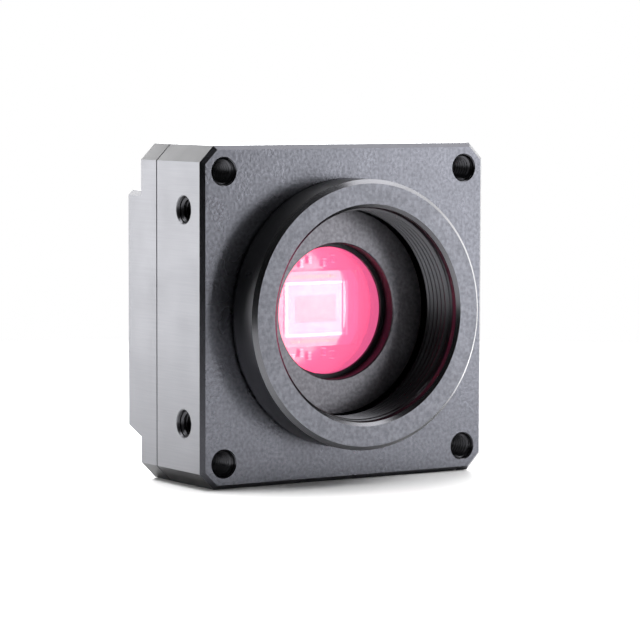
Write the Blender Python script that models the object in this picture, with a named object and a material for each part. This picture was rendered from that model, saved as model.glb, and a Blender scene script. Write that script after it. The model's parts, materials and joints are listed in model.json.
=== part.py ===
"""Compact square astronomy camera with a screw-in C/CS lens mount.

Metres, +Z up.  The camera stands on its bottom face with the lens axis along Y and the lens mount
facing -Y.  The origin is at the middle of the bottom of the whole camera's box.

Pieces are laid out from the front face: the empty "front_face_centre" sits where the lens axis meets
that face, and every piece is its child.  In its space x is to the right seen from the back of the
mount, y is the depth behind the front face, and z is the height above the lens axis.
"""
import math

import bmesh
import bpy
from mathutils import Matrix, Vector

# Fits
GAP = 0.0003                    # between pieces that touch
OVERCUT = 0.001                 # how far a cutter runs past the face it opens

# Outside of the body
BODY_SIDE = 0.040               # the square seen from the front
CORNER_CHAMFER = 0.0019         # the four long corners of the square
FRONT_EDGE = 0.0005             # chamfer round the front face
COVER_PLATE = 0.00365           # full-width part of the rear cover
BLOCK_EDGE = 0.0002             # chamfer round the raised rear block's outer face

# Lens mount ring: 1 inch by 32 threads per inch, at the CS flange distance
RING_PROUD = 0.005              # the lens flange stands this far in front of the front face
RING_EDGE = 0.0005
RING_WALL = 0.0022              # from the thread's root to the outside of the spigot
RING_STEP = 0.0011              # from the spigot to the outside of the ring
LENS_THREAD_R = 0.0127          # thread's major radius
LENS_THREAD_PITCH = 0.0254 / 32
LENS_THREAD_HEIGHT = 0.54 * LENS_THREAD_PITCH
MOUTH_EDGE = 0.0004             # chamfer at the mouth, beyond the thread's root
LENS_THREAD_END = 0.0067        # how far behind the lens flange the thread stops
FLANGE_TO_SENSOR = 0.012526     # CS mount, in air
SPIGOT_DEPTH = 0.0037           # how far the ring reaches into the front shell
SEAL_SECTION_R = 0.0004         # O-ring in a groove on the spigot
SEAL_LIP = 0.0005               # from that groove to the spigot's end

# Bore of the front shell behind the ring
BAFFLE_SET_BACK = 0.0004        # flat baffle round the window, behind the end of the lens thread
BAFFLE_CLEARANCE = 0.0004       # between the baffle's edge and the ring's bore
FILTER_R = 0.0087
FILTER_THICKNESS = 0.001
FILTER_TO_COVER_GLASS = 0.0008
LEDGE_THICKNESS = 0.0004        # the ledge that the filter is held against
LEDGE_SEAT = 0.00105            # how far it laps over the filter
LEDGE_STEP = 0.0005             # from the ledge's hole to the wider aperture in front of it
RETAINER_THICKNESS = 0.0008
RETAINER_WALL = 0.001

# Image sensor
DIE_SIZE = (0.0078, 0.0055)
DIE_THICKNESS = 0.0004
PACKAGE_WALL = (0.0025, 0.0018)  # round the die
PACKAGE_RIM = 0.0003            # the rim stands this far in front of the die
PACKAGE_BASE = 0.0005
COVER_GLASS_LAP = 0.00055       # how far it reaches past the die
COVER_GLASS_THICKNESS = 0.0004

# Inside of the body
SIDE_WALL = 0.003
CORNER_POST = 0.0075            # square posts that the cavity leaves in the corners
BLOCK_SIDE_WALL = 0.0019        # above and below the cavity in the rear block
CAVITY_EDGE_R = 0.0012
COVER_WALL = 0.0016             # left behind the electronics in the rear block
BOARD_TO_SEAM = 0.0001          # the sensor board lies this far inside the front shell
SEAL_LAND = 0.0007              # metal between the cavity and the gasket's groove
GASKET_WIDTH = 0.0009
GASKET_IN_COVER = 0.0005        # how far the gasket stands in each shell's groove
GASKET_IN_SHELL = 0.0002

# Boards
BOARD_THICKNESS = 0.001
BOARD_SPACING = 0.0025          # between the sensor board and the interface board
BOARD_HOLE_INSET = (0.0022, 0.0045)  # from the cavity's walls
STUD_R = 0.0008
STUD_WEB = 0.0004               # left between the stud holes and the ring's recess
SPACER_R = 0.0018
STANDOFF_FLATS = 0.0034
STANDOFF_THREAD = 0.0013        # depth of the threaded hole for the board screw
SPANNER_SLOT = 0.0008

# M3 holes and cover screws
M3_HOLE_R = 0.0016
CORNER_HOLE_INSET = 0.003       # from both sides of the body
SIDE_HOLE_INSET = 0.0075        # from the top and the bottom of the body
SIDE_HOLE_DEPTH = 0.0041        # behind the front face
SIDE_HOLE_REACH = 0.005
COVER_SCREW_LENGTH = 0.008
COVER_SCREW_HEAD_R = 0.00225    # small head, so that it stays inside the plate's edge
COVER_SCREW_SUNK = 0.0001       # head's top below the plate
HEX_KEY_FLATS = 0.002
HEX_KEY_DEPTH = 0.0011

# USB-C socket, upright on the axis of the rear block
USB_SHELL = (0.00894, 0.00326)
USB_SHELL_WALL = 0.0003
USB_BELOW_BOARD = 0.0018        # how far it reaches through the interface board
USB_SUNK = 0.0002
USB_TONGUE = (0.0056, 0.0007)
USB_CENTRE_Z = -0.0065
USB_ROUNDING = 0.98             # of half the shell's height: its ends are almost half round

# Parts on the boards: width, height
CHIP_THICKNESS = 0.0009
PAD_THICKNESS = 0.0008
PROCESSOR_SIZE = (0.0110, 0.0110)
PROCESSOR_TO_SCREW = 0.0009
PROCESSOR_Z = 0.0042
MEMORY_SIZE = (0.0080, 0.0075)
MEMORY_TO_PROCESSOR = 0.0033
MEMORY_Z = 0.0045
OSCILLATOR_SIZE = (0.0032, 0.0025)
OSCILLATOR_AT = (0.0120, -0.0035)
INDUCTOR_R = 0.0019
INDUCTOR_AT = (-0.0105, -0.0075)
CONNECTOR_SIZE = (0.0120, 0.0022)
CONNECTOR_SOCKET_DEPTH = 0.0009
CONNECTOR_AT_Z = 0.0095

RING_STEPS = 96
HOLE_STEPS = 24
SMALL_STEPS = 12
SEAL_STEPS = 10

# Worked out from the sizes above
HALF = BODY_SIDE / 2
CAVITY_HALF = HALF - SIDE_WALL
ARM_HALF = HALF - CORNER_POST
BLOCK_HALF = ARM_HALF + BLOCK_SIDE_WALL
CORNER_HOLE = HALF - CORNER_HOLE_INSET
SIDE_HOLE_Z = HALF - SIDE_HOLE_INSET
BOARD_HOLE_X = CAVITY_HALF - BOARD_HOLE_INSET[0]
BOARD_HOLE_Z = ARM_HALF - BOARD_HOLE_INSET[1]
SPIGOT_R = LENS_THREAD_R + RING_WALL
RING_OUTER_R = SPIGOT_R + RING_STEP
RECESS_R = SPIGOT_R + GAP
RECESS_DEPTH = SPIGOT_DEPTH + GAP
STUD_HOLE_FLOOR = RECESS_DEPTH + STUD_WEB
SEAL_GROOVE_END = SPIGOT_DEPTH - SEAL_LIP
SEAL_GROOVE_START = SEAL_GROOVE_END - 2 * (SEAL_SECTION_R + GAP)
BAFFLE_DEPTH = LENS_THREAD_END + BAFFLE_SET_BACK - RING_PROUD
BAFFLE_R = LENS_THREAD_R - BAFFLE_CLEARANCE
LEDGE_R = FILTER_R - LEDGE_SEAT
APERTURE_R = LEDGE_R + LEDGE_STEP
RETAINER_BORE_R = FILTER_R - RETAINER_WALL
DIE_FRONT = FLANGE_TO_SENSOR - RING_PROUD
PACKAGE_FRONT = DIE_FRONT - PACKAGE_RIM
PACKAGE_FLOOR = DIE_FRONT + DIE_THICKNESS + GAP
COVER_GLASS_BACK = PACKAGE_FRONT - GAP
COVER_GLASS_FRONT = COVER_GLASS_BACK - COVER_GLASS_THICKNESS
FILTER_BACK = COVER_GLASS_FRONT - FILTER_TO_COVER_GLASS
FILTER_FRONT = FILTER_BACK - FILTER_THICKNESS
LEDGE_BACK = FILTER_FRONT - GAP
LEDGE_DEPTH = LEDGE_BACK - LEDGE_THICKNESS
RETAINER_FRONT = FILTER_BACK + GAP
CAVITY_FRONT = RETAINER_FRONT + RETAINER_THICKNESS
SENSOR_BOARD_FRONT = PACKAGE_FLOOR + PACKAGE_BASE + GAP
SENSOR_BOARD_BACK = SENSOR_BOARD_FRONT + BOARD_THICKNESS
SHELL_DEPTH = SENSOR_BOARD_BACK + BOARD_TO_SEAM
SEAM_REAR = SHELL_DEPTH + GAP
PLATE_BACK = SEAM_REAR + COVER_PLATE
INTERFACE_FRONT = SENSOR_BOARD_BACK + BOARD_SPACING
INTERFACE_BACK = INTERFACE_FRONT + BOARD_THICKNESS
CHIP_FRONT = INTERFACE_BACK + GAP
CHIP_BACK = CHIP_FRONT + CHIP_THICKNESS
PAD_BACK = CHIP_BACK + GAP + PAD_THICKNESS
COVER_INNER = PAD_BACK + GAP
BODY_BACK = COVER_INNER + COVER_WALL
FACE_Y = RING_PROUD - (RING_PROUD + BODY_BACK) / 2
HEAD_BACK = PLATE_BACK - COVER_SCREW_SUNK
HEAD_DEPTH = COVER_SCREW_HEAD_R - (M3_HOLE_R - GAP)
USB_BACK = BODY_BACK - USB_SUNK
USB_FRONT = INTERFACE_FRONT - USB_BELOW_BOARD
PROCESSOR_AT = (PROCESSOR_SIZE[0] / 2 + PROCESSOR_TO_SCREW + 2 * STUD_R - BOARD_HOLE_X, PROCESSOR_Z)
MEMORY_AT = (PROCESSOR_AT[0] + (PROCESSOR_SIZE[0] + MEMORY_SIZE[0]) / 2 + MEMORY_TO_PROCESSOR, MEMORY_Z)
CORNERS = [(x, z) for x in (-1, 1) for z in (-1, 1)]


def clear_scene():
    """Remove whatever the scene holds."""
    for old in list(bpy.data.objects):
        bpy.data.objects.remove(old, do_unlink=True)


def make_material(name, colour, roughness, metallic, alpha=1.0):
    """Make a Principled material."""
    material = bpy.data.materials.new(name)
    material.use_nodes = True
    shader = material.node_tree.nodes["Principled BSDF"]
    shader.inputs["Base Color"].default_value = (*colour, 1.0)
    shader.inputs["Roughness"].default_value = roughness
    shader.inputs["Metallic"].default_value = metallic
    shader.inputs["Alpha"].default_value = alpha
    return material


def finish_object(name, mesh, material, at=(0, 0, 0), smooth_degrees=None):
    """Link a mesh as an object on the empty, with its material and shading."""
    mesh.materials.append(material)
    if smooth_degrees:
        mesh.shade_smooth()
        mesh.set_sharp_from_angle(angle=math.radians(smooth_degrees))
    made = bpy.data.objects.new(name, mesh)
    bpy.context.scene.collection.objects.link(made)
    made.parent = bpy.data.objects["front_face_centre"]
    made.location = at
    return made


def mesh_from(work, name):
    """Turn a bmesh into a mesh with its faces pointing out."""
    bmesh.ops.recalc_face_normals(work, faces=work.faces)
    mesh = bpy.data.meshes.new(name)
    work.to_mesh(mesh)
    work.free()
    return mesh


def prism(outline, front, back, edge_front=0.0, edge_back=0.0):
    """Extrude an (x, z) outline from one depth to another, with chamfered end edges if asked."""
    work = bmesh.new()
    near = [work.verts.new((x, front, z)) for x, z in outline]
    face = work.faces.new(near)
    grown = bmesh.ops.extrude_face_region(work, geom=[face])["geom"]
    moved = [item for item in grown if isinstance(item, bmesh.types.BMVert)]
    bmesh.ops.translate(work, verts=moved, vec=(0, back - front, 0))
    for depth, width in ((front, edge_front), (back, edge_back)):
        if width:
            rim = [e for e in work.edges if all(abs(v.co.y - depth) < GAP / 100 for v in e.verts)]
            bmesh.ops.bevel(work, geom=rim, offset=width, segments=1, affect="EDGES")
    return work


def turned(profile, steps):
    """Spin a closed (radius, depth) loop round the lens axis; radius 0 points close on the axis."""
    work = bmesh.new()
    rings = []
    for radius, depth in profile:
        if radius == 0:
            rings.append([work.verts.new((0, depth, 0))])
            continue
        ring = []
        for step in range(steps):
            angle = 2 * math.pi * step / steps
            ring.append(work.verts.new((radius * math.cos(angle), depth, radius * math.sin(angle))))
        rings.append(ring)
    for ring, after in zip(rings, rings[1:] + rings[:1]):
        if len(ring) == 1 and len(after) == 1:
            continue
        for step in range(steps):
            follow = (step + 1) % steps
            loop = [ring[step % len(ring)], ring[follow % len(ring)],
                    after[follow % len(after)], after[step % len(after)]]
            work.faces.new(list(dict.fromkeys(loop)))
    return work


def rectangle(width, height, centre=(0, 0), rounding=0.0, arc_steps=4):
    """Outline of a rectangle, with round corners if asked."""
    points = []
    for turn, (side_x, side_z) in enumerate(((1, 1), (-1, 1), (-1, -1), (1, -1))):
        corner_x = centre[0] + side_x * (width / 2 - rounding)
        corner_z = centre[1] + side_z * (height / 2 - rounding)
        steps = arc_steps if rounding else 0
        for step in range(steps + 1):
            angle = math.pi / 2 * (turn + step / max(steps, 1))
            points.append((corner_x + rounding * math.cos(angle), corner_z + rounding * math.sin(angle)))
    return points


def circle(radius, centre=(0, 0), steps=HOLE_STEPS):
    """Outline of a circle."""
    turns = [2 * math.pi * (step + 0.5) / steps for step in range(steps)]
    return [(centre[0] + radius * math.cos(a), centre[1] + radius * math.sin(a)) for a in turns]


def body_outline():
    """Square body with chamfered corners."""
    near = HALF - CORNER_CHAMFER
    points = []
    for side_x, side_z, flip in ((1, 1, False), (-1, 1, True), (-1, -1, False), (1, -1, True)):
        pair = [(side_x * HALF, side_z * near), (side_x * near, side_z * HALF)]
        points.extend(reversed(pair) if flip else pair)
    return points


def cross_outline(half, arm):
    """Square with a square notch in each corner, which leaves room for the screw posts."""
    points = []
    for side_x, side_z, flip in ((1, 1, False), (-1, 1, True), (-1, -1, False), (1, -1, True)):
        trio = [(side_x * half, side_z * arm), (side_x * arm, side_z * arm), (side_x * arm, side_z * half)]
        points.extend(reversed(trio) if flip else trio)
    return points


def frame_prism(half, arm, width, front, back):
    """Ring-shaped prism that follows the cross outline: inner size, then its width outwards."""
    inner = cross_outline(half, arm)
    outer = cross_outline(half + width, arm + width)
    work = bmesh.new()
    loops = [[work.verts.new((x, y, z)) for x, z in outline]
             for outline, y in ((inner, front), (outer, front), (outer, back), (inner, back))]
    for loop, after in zip(loops, loops[1:] + loops[:1]):
        for step in range(len(inner)):
            follow = (step + 1) % len(inner)
            work.faces.new([loop[step], loop[follow], after[follow], after[step]])
    return work


def cut(host, work, name):
    """Cut a host with a closed bmesh, by a hidden cutter and a Boolean modifier."""
    mesh = mesh_from(work, name)
    cutter = bpy.data.objects.new(name, mesh)
    bpy.context.scene.collection.objects.link(cutter)
    cutter.parent = host.parent
    cutter.hide_render = True
    cutter.display_type = "WIRE"
    modifier = host.modifiers.new(name, "BOOLEAN")
    modifier.operation = "DIFFERENCE"
    modifier.solver = "EXACT"
    modifier.object = cutter
    return cutter


def merged(pieces):
    """Put several closed bmeshes that stand apart into one, for a single cutter."""
    whole = bmesh.new()
    for work in pieces:
        bmesh.ops.recalc_face_normals(work, faces=work.faces)
        spare = bpy.data.meshes.new("spare")
        work.to_mesh(spare)
        work.free()
        whole.from_mesh(spare)
        bpy.data.meshes.remove(spare)
    return whole


def side_hole(side):
    """Two blind M3 holes in one side face, as cutters that run along X."""
    pieces = []
    for height in (-SIDE_HOLE_Z, SIDE_HOLE_Z):
        work = prism(circle(M3_HOLE_R), -SIDE_HOLE_REACH, OVERCUT)
        turn = Matrix.Rotation(-side * math.pi / 2, 4, "Z")
        bmesh.ops.transform(work, matrix=turn, verts=work.verts)
        bmesh.ops.translate(work, verts=work.verts, vec=(side * HALF, SIDE_HOLE_DEPTH, height))
        pieces.append(work)
    return merged(pieces)


def gasket_groove(front, back):
    """Room for the gasket round the cavity, between two depths."""
    return frame_prism(CAVITY_HALF + SEAL_LAND, ARM_HALF + SEAL_LAND, GASKET_WIDTH + 2 * GAP, front, back)


def make_front_shell(metal):
    """Front shell: bored for the ring, the baffle, the filter and the electronics."""
    work = prism(body_outline(), 0, SHELL_DEPTH, edge_front=FRONT_EDGE)
    shell = finish_object("front_housing", mesh_from(work, "front_housing"), metal, smooth_degrees=20)
    bore = [(0, -OVERCUT), (RECESS_R, -OVERCUT), (RECESS_R, RECESS_DEPTH), (BAFFLE_R, RECESS_DEPTH),
            (BAFFLE_R, BAFFLE_DEPTH), (APERTURE_R, BAFFLE_DEPTH), (APERTURE_R, LEDGE_DEPTH),
            (LEDGE_R, LEDGE_DEPTH), (LEDGE_R, LEDGE_BACK), (FILTER_R + GAP, LEDGE_BACK),
            (FILTER_R + GAP, CAVITY_FRONT + OVERCUT), (0, CAVITY_FRONT + OVERCUT)]
    cut(shell, turned(bore, RING_STEPS), "optical_bore_cutter")
    cavity = prism(cross_outline(CAVITY_HALF, ARM_HALF), CAVITY_FRONT, SHELL_DEPTH + OVERCUT)
    cut(shell, cavity, "front_cavity_cutter")
    holes = [prism(circle(M3_HOLE_R, (x * CORNER_HOLE, z * CORNER_HOLE)), -OVERCUT, SHELL_DEPTH + OVERCUT)
             for x, z in CORNERS]
    cut(shell, merged(holes), "corner_hole_cutter")
    groove = gasket_groove(SHELL_DEPTH - GASKET_IN_SHELL - GAP, SHELL_DEPTH + OVERCUT)
    cut(shell, groove, "shell_groove_cutter")
    studs = [prism(circle(STUD_R + GAP, (x * BOARD_HOLE_X, z * BOARD_HOLE_Z), SMALL_STEPS),
                   STUD_HOLE_FLOOR, CAVITY_FRONT + OVERCUT) for x, z in CORNERS]
    cut(shell, merged(studs), "stud_hole_cutter")
    for side, name in ((-1, "left_hole_cutter"), (1, "right_hole_cutter")):
        cut(shell, side_hole(side), name)


def make_rear_cover(metal):
    """Rear cover: a full-width plate and the raised block, milled from one piece."""
    steps = [(SEAM_REAR, -HALF), (PLATE_BACK, -HALF), (PLATE_BACK, -BLOCK_HALF), (BODY_BACK, -BLOCK_HALF),
             (BODY_BACK, BLOCK_HALF), (PLATE_BACK, BLOCK_HALF), (PLATE_BACK, HALF), (SEAM_REAR, HALF)]
    work = bmesh.new()
    face = work.faces.new([work.verts.new((-HALF, y, z)) for y, z in steps])
    grown = bmesh.ops.extrude_face_region(work, geom=[face])["geom"]
    moved = [item for item in grown if isinstance(item, bmesh.types.BMVert)]
    bmesh.ops.translate(work, verts=moved, vec=(BODY_SIDE, 0, 0))
    small = GAP / 100
    corners = [e for e in work.edges if all(abs(abs(v.co.z) - HALF) < small for v in e.verts)
               and abs(e.verts[0].co.x - e.verts[1].co.x) < small
               and abs(e.verts[0].co.y - e.verts[1].co.y) > small]
    bmesh.ops.bevel(work, geom=corners, offset=CORNER_CHAMFER, segments=1, affect="EDGES")
    rim = [e for e in work.edges if all(abs(v.co.y - BODY_BACK) < small for v in e.verts)]
    bmesh.ops.bevel(work, geom=rim, offset=BLOCK_EDGE, segments=1, affect="EDGES")
    cover = finish_object("rear_cover", mesh_from(work, "rear_cover"), metal, smooth_degrees=20)
    pocket = rectangle(2 * CAVITY_HALF, 2 * ARM_HALF, rounding=CAVITY_EDGE_R)
    cut(cover, prism(pocket, SEAM_REAR - OVERCUT, COVER_INNER), "rear_cavity_cutter")
    cut(cover, gasket_groove(SEAM_REAR - OVERCUT, SEAM_REAR + GASKET_IN_COVER + GAP), "cover_groove_cutter")
    cut(cover, merged([screw_space(x * CORNER_HOLE, z * CORNER_HOLE) for x, z in CORNERS]),
        "cover_screw_cutter")
    port = rectangle(USB_SHELL[0] + 2 * GAP, USB_SHELL[1] + 2 * GAP, (0, USB_CENTRE_Z),
                     rounding=USB_SHELL[1] / 2)
    cut(cover, prism(port, COVER_INNER - OVERCUT, BODY_BACK + OVERCUT), "usb_port_cutter")


def screw_space(x, z):
    """Countersunk clearance hole for one cover screw, open at the back."""
    wide = COVER_SCREW_HEAD_R + GAP
    profile = [(0, SEAM_REAR - OVERCUT), (M3_HOLE_R, SEAM_REAR - OVERCUT),
               (M3_HOLE_R, HEAD_BACK - HEAD_DEPTH), (wide, HEAD_BACK), (wide, BODY_BACK + OVERCUT),
               (0, BODY_BACK + OVERCUT)]
    work = turned(profile, HOLE_STEPS)
    bmesh.ops.translate(work, verts=work.verts, vec=(x, 0, z))
    return work


def make_mount_ring(metal):
    """Lens mount ring: flange, threaded bore, and a spigot with an O-ring groove."""
    front = -RING_PROUD
    thread_end = front + LENS_THREAD_END
    mouth = LENS_THREAD_R + MOUTH_EDGE
    crest_r = LENS_THREAD_R - LENS_THREAD_HEIGHT
    groove_r = SPIGOT_R - 2 * SEAL_SECTION_R - GAP
    profile = [(mouth, front), (RING_OUTER_R - RING_EDGE, front), (RING_OUTER_R, front + RING_EDGE),
               (RING_OUTER_R, -GAP), (SPIGOT_R, -GAP), (SPIGOT_R, SEAL_GROOVE_START),
               (groove_r, SEAL_GROOVE_START), (groove_r, SEAL_GROOVE_END), (SPIGOT_R, SEAL_GROOVE_END),
               (SPIGOT_R, SPIGOT_DEPTH), (LENS_THREAD_R, SPIGOT_DEPTH), (LENS_THREAD_R, thread_end),
               (crest_r, thread_end), (crest_r, front + mouth - crest_r)]
    work = turned(profile, RING_STEPS)
    finish_object("lens_mount_ring", mesh_from(work, "lens_mount_ring"), metal, smooth_degrees=30)


def make_seal_ring(rubber):
    """O-ring in the spigot's groove, on the axis that the ring slides and turns about."""
    centre_r = SPIGOT_R - SEAL_SECTION_R
    centre_depth = SEAL_GROOVE_START + SEAL_SECTION_R + GAP
    turns = [2 * math.pi * step / SEAL_STEPS for step in range(SEAL_STEPS)]
    profile = [(centre_r + SEAL_SECTION_R * math.cos(a), centre_depth + SEAL_SECTION_R * math.sin(a))
               for a in turns]
    work = turned(profile, RING_STEPS // 2)
    finish_object("mount_seal_ring", mesh_from(work, "mount_seal_ring"), rubber, smooth_degrees=60)


def disc(radius, front, back, steps):
    """Solid disc on the lens axis."""
    return turned([(0, front), (radius, front), (radius, back), (0, back)], steps)


def make_filter(glass, metal):
    """Window filter and the ring that holds it against the ledge, with two spanner slots."""
    work = disc(FILTER_R, FILTER_FRONT, FILTER_BACK, RING_STEPS)
    finish_object("window_filter", mesh_from(work, "window_filter"), glass, smooth_degrees=30)
    ring = turned([(RETAINER_BORE_R, RETAINER_FRONT), (FILTER_R, RETAINER_FRONT), (FILTER_R, CAVITY_FRONT),
                   (RETAINER_BORE_R, CAVITY_FRONT)], RING_STEPS)
    retainer = finish_object("filter_retainer", mesh_from(ring, "filter_retainer"), metal,
                             smooth_degrees=30)
    slots = [prism(rectangle(2 * RETAINER_WALL, SPANNER_SLOT, (side * (FILTER_R - RETAINER_WALL / 2), 0)),
                   CAVITY_FRONT - RETAINER_THICKNESS / 2, CAVITY_FRONT + OVERCUT) for side in (-1, 1)]
    cut(retainer, merged(slots), "spanner_slot_cutter")


def plate(name, size, centre, front, back, material, rounding=0.0):
    """Flat rectangular piece between two depths."""
    work = prism(rectangle(size[0], size[1], centre, rounding), front, back)
    return finish_object(name, mesh_from(work, name), material)


def make_sensor(ceramic, silicon, glass):
    """Image sensor: a ceramic package with a well, the die in it and the cover glass over it."""
    outside = (DIE_SIZE[0] + 2 * PACKAGE_WALL[0], DIE_SIZE[1] + 2 * PACKAGE_WALL[1])
    package = plate("sensor_package", outside, (0, 0), PACKAGE_FRONT, PACKAGE_FLOOR + PACKAGE_BASE, ceramic)
    well = rectangle(DIE_SIZE[0] + 2 * GAP, DIE_SIZE[1] + 2 * GAP)
    cut(package, prism(well, PACKAGE_FRONT - OVERCUT, PACKAGE_FLOOR), "package_well_cutter")
    plate("sensor_die", DIE_SIZE, (0, 0), DIE_FRONT, DIE_FRONT + DIE_THICKNESS, silicon)
    cover = (DIE_SIZE[0] + 2 * COVER_GLASS_LAP, DIE_SIZE[1] + 2 * COVER_GLASS_LAP)
    plate("sensor_cover_glass", cover, (0, 0), COVER_GLASS_FRONT, COVER_GLASS_BACK, glass)


def board_holes(front, back):
    """Four holes for the board studs."""
    return merged([prism(circle(STUD_R + GAP, (x * BOARD_HOLE_X, z * BOARD_HOLE_Z), SMALL_STEPS),
                         front - OVERCUT, back + OVERCUT) for x, z in CORNERS])


def make_boards(laminate):
    """Sensor board in the front shell and interface board in the rear cover."""
    outline = cross_outline(CAVITY_HALF - GAP, ARM_HALF - GAP)
    work = prism(outline, SENSOR_BOARD_FRONT, SENSOR_BOARD_BACK)
    board = finish_object("sensor_board", mesh_from(work, "sensor_board"), laminate)
    cut(board, board_holes(SENSOR_BOARD_FRONT, SENSOR_BOARD_BACK), "sensor_board_cutter")
    size = (2 * (CAVITY_HALF - GAP), 2 * (ARM_HALF - GAP))
    board = plate("interface_board", size, (0, 0), INTERFACE_FRONT, INTERFACE_BACK, laminate,
                  CAVITY_EDGE_R)
    cut(board, board_holes(INTERFACE_FRONT, INTERFACE_BACK), "interface_board_cutter")
    port = rectangle(USB_SHELL[0] + 2 * GAP, USB_SHELL[1] + 2 * GAP, (0, USB_CENTRE_Z),
                     rounding=USB_SHELL[1] / 2)
    cut(board, prism(port, INTERFACE_FRONT - OVERCUT, INTERFACE_BACK + OVERCUT), "board_port_cutter")


def make_board_stack(brass, steel):
    """Spacers, hex standoffs with studs, and board screws at the four board holes."""
    spacer_front = CAVITY_FRONT + GAP
    spacer_back = SENSOR_BOARD_FRONT - GAP
    standoff_front = SENSOR_BOARD_BACK + GAP
    standoff_back = INTERFACE_FRONT - GAP
    head_front = INTERFACE_BACK + GAP
    head_back = head_front + STUD_R
    for number, (side_x, side_z) in enumerate(CORNERS, 1):
        at = (side_x * BOARD_HOLE_X, 0, side_z * BOARD_HOLE_Z)
        bore = STUD_R + GAP
        work = turned([(bore, spacer_front), (SPACER_R, spacer_front), (SPACER_R, spacer_back),
                       (bore, spacer_back)], SMALL_STEPS)
        finish_object(f"board_spacer_{number}", mesh_from(work, "board_spacer"), brass, at, 40)
        work = standoff(standoff_front, standoff_back)
        finish_object(f"board_standoff_{number}", mesh_from(work, "board_standoff"), brass, at)
        tip = standoff_back - STANDOFF_THREAD + GAP
        work = turned([(0, tip), (STUD_R, tip), (STUD_R, head_front), (2 * STUD_R, head_front),
                       (2 * STUD_R, head_back), (0, head_back)], SMALL_STEPS)
        finish_object(f"board_screw_{number}", mesh_from(work, "board_screw"), steel, at, 40)


def standoff(front, back):
    """Hex standoff: a stud towards the front and a threaded hole at the back, as one solid."""
    hex_r = STANDOFF_FLATS / math.sqrt(3)
    tip = STUD_HOLE_FLOOR + GAP
    floor = back - STANDOFF_THREAD
    profile = [(0, tip), (STUD_R, tip), (STUD_R, front), (hex_r, front), (hex_r, back),
               (STUD_R + GAP, back), (STUD_R + GAP, floor), (0, floor)]
    return turned(profile, 6)


def make_cover_screws(steel):
    """Countersunk M3 screws with a hex socket, put in from the back."""
    shank = M3_HOLE_R - GAP
    tip = HEAD_BACK - COVER_SCREW_LENGTH
    for number, (side_x, side_z) in enumerate(CORNERS, 1):
        at = (side_x * CORNER_HOLE, 0, side_z * CORNER_HOLE)
        cone = HEAD_BACK - HEAD_DEPTH
        profile = [(0, tip), (shank - GAP, tip), (shank, tip + GAP), (shank, cone),
                   (COVER_SCREW_HEAD_R, HEAD_BACK), (0, HEAD_BACK)]
        name = f"cover_screw_{number}"
        screw = finish_object(name, mesh_from(turned(profile, HOLE_STEPS), name), steel, at, 30)
        key = prism(circle(HEX_KEY_FLATS / math.sqrt(3), steps=6), HEAD_BACK - HEX_KEY_DEPTH,
                    HEAD_BACK + OVERCUT)
        cut(screw, key, f"hex_key_cutter_{number}").location = at


def make_gasket(rubber):
    """Gasket that lies in facing grooves of the two shells and closes the seam."""
    work = frame_prism(CAVITY_HALF + SEAL_LAND + GAP, ARM_HALF + SEAL_LAND + GAP, GASKET_WIDTH,
                       SHELL_DEPTH - GASKET_IN_SHELL, SEAM_REAR + GASKET_IN_COVER)
    finish_object("body_gasket", mesh_from(work, "body_gasket"), rubber)


def make_usb_socket(steel, plastic):
    """USB-C socket: a steel shell that is open at the back, and the tongue in it."""
    centre = (0, USB_CENTRE_Z)
    shell = plate("usb_shell", USB_SHELL, centre, USB_FRONT, USB_BACK, steel,
                  USB_SHELL[1] / 2 * USB_ROUNDING)
    inner = (USB_SHELL[0] - 2 * USB_SHELL_WALL, USB_SHELL[1] - 2 * USB_SHELL_WALL)
    well_floor = USB_FRONT + 2 * USB_SHELL_WALL
    well = rectangle(inner[0], inner[1], centre, inner[1] / 2 * USB_ROUNDING)
    cut(shell, prism(well, well_floor, USB_BACK + OVERCUT), "usb_well_cutter")
    plate("usb_tongue", USB_TONGUE, centre, well_floor + GAP, USB_BACK - USB_SHELL[1] / 2, plastic)


def make_board_parts(plastic, metal, pad):
    """Chips, oscillator, inductor, board connector and the pads that carry heat to the cover."""
    plate("processor_chip", PROCESSOR_SIZE, PROCESSOR_AT, CHIP_FRONT, CHIP_BACK, plastic)
    plate("memory_chip", MEMORY_SIZE, MEMORY_AT, CHIP_FRONT, CHIP_BACK, plastic)
    plate("oscillator", OSCILLATOR_SIZE, OSCILLATOR_AT, CHIP_FRONT, CHIP_BACK, metal)
    plate("processor_thermal_pad", PROCESSOR_SIZE, PROCESSOR_AT, CHIP_BACK + GAP, PAD_BACK, pad)
    plate("memory_thermal_pad", MEMORY_SIZE, MEMORY_AT, CHIP_BACK + GAP, PAD_BACK, pad)
    coil = prism(circle(INDUCTOR_R, INDUCTOR_AT, SMALL_STEPS), CHIP_FRONT, CHIP_FRONT + INDUCTOR_R / 2)
    finish_object("power_inductor", mesh_from(coil, "power_inductor"), plastic, smooth_degrees=40)
    centre = (0, CONNECTOR_AT_Z)
    socket_front = SENSOR_BOARD_BACK + GAP
    socket_back = socket_front + CONNECTOR_SOCKET_DEPTH
    plate("board_connector_socket", CONNECTOR_SIZE, centre, socket_front, socket_back, plastic)
    plate("board_connector_plug", CONNECTOR_SIZE, centre, socket_back + GAP, INTERFACE_FRONT - GAP,
          plastic)


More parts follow.
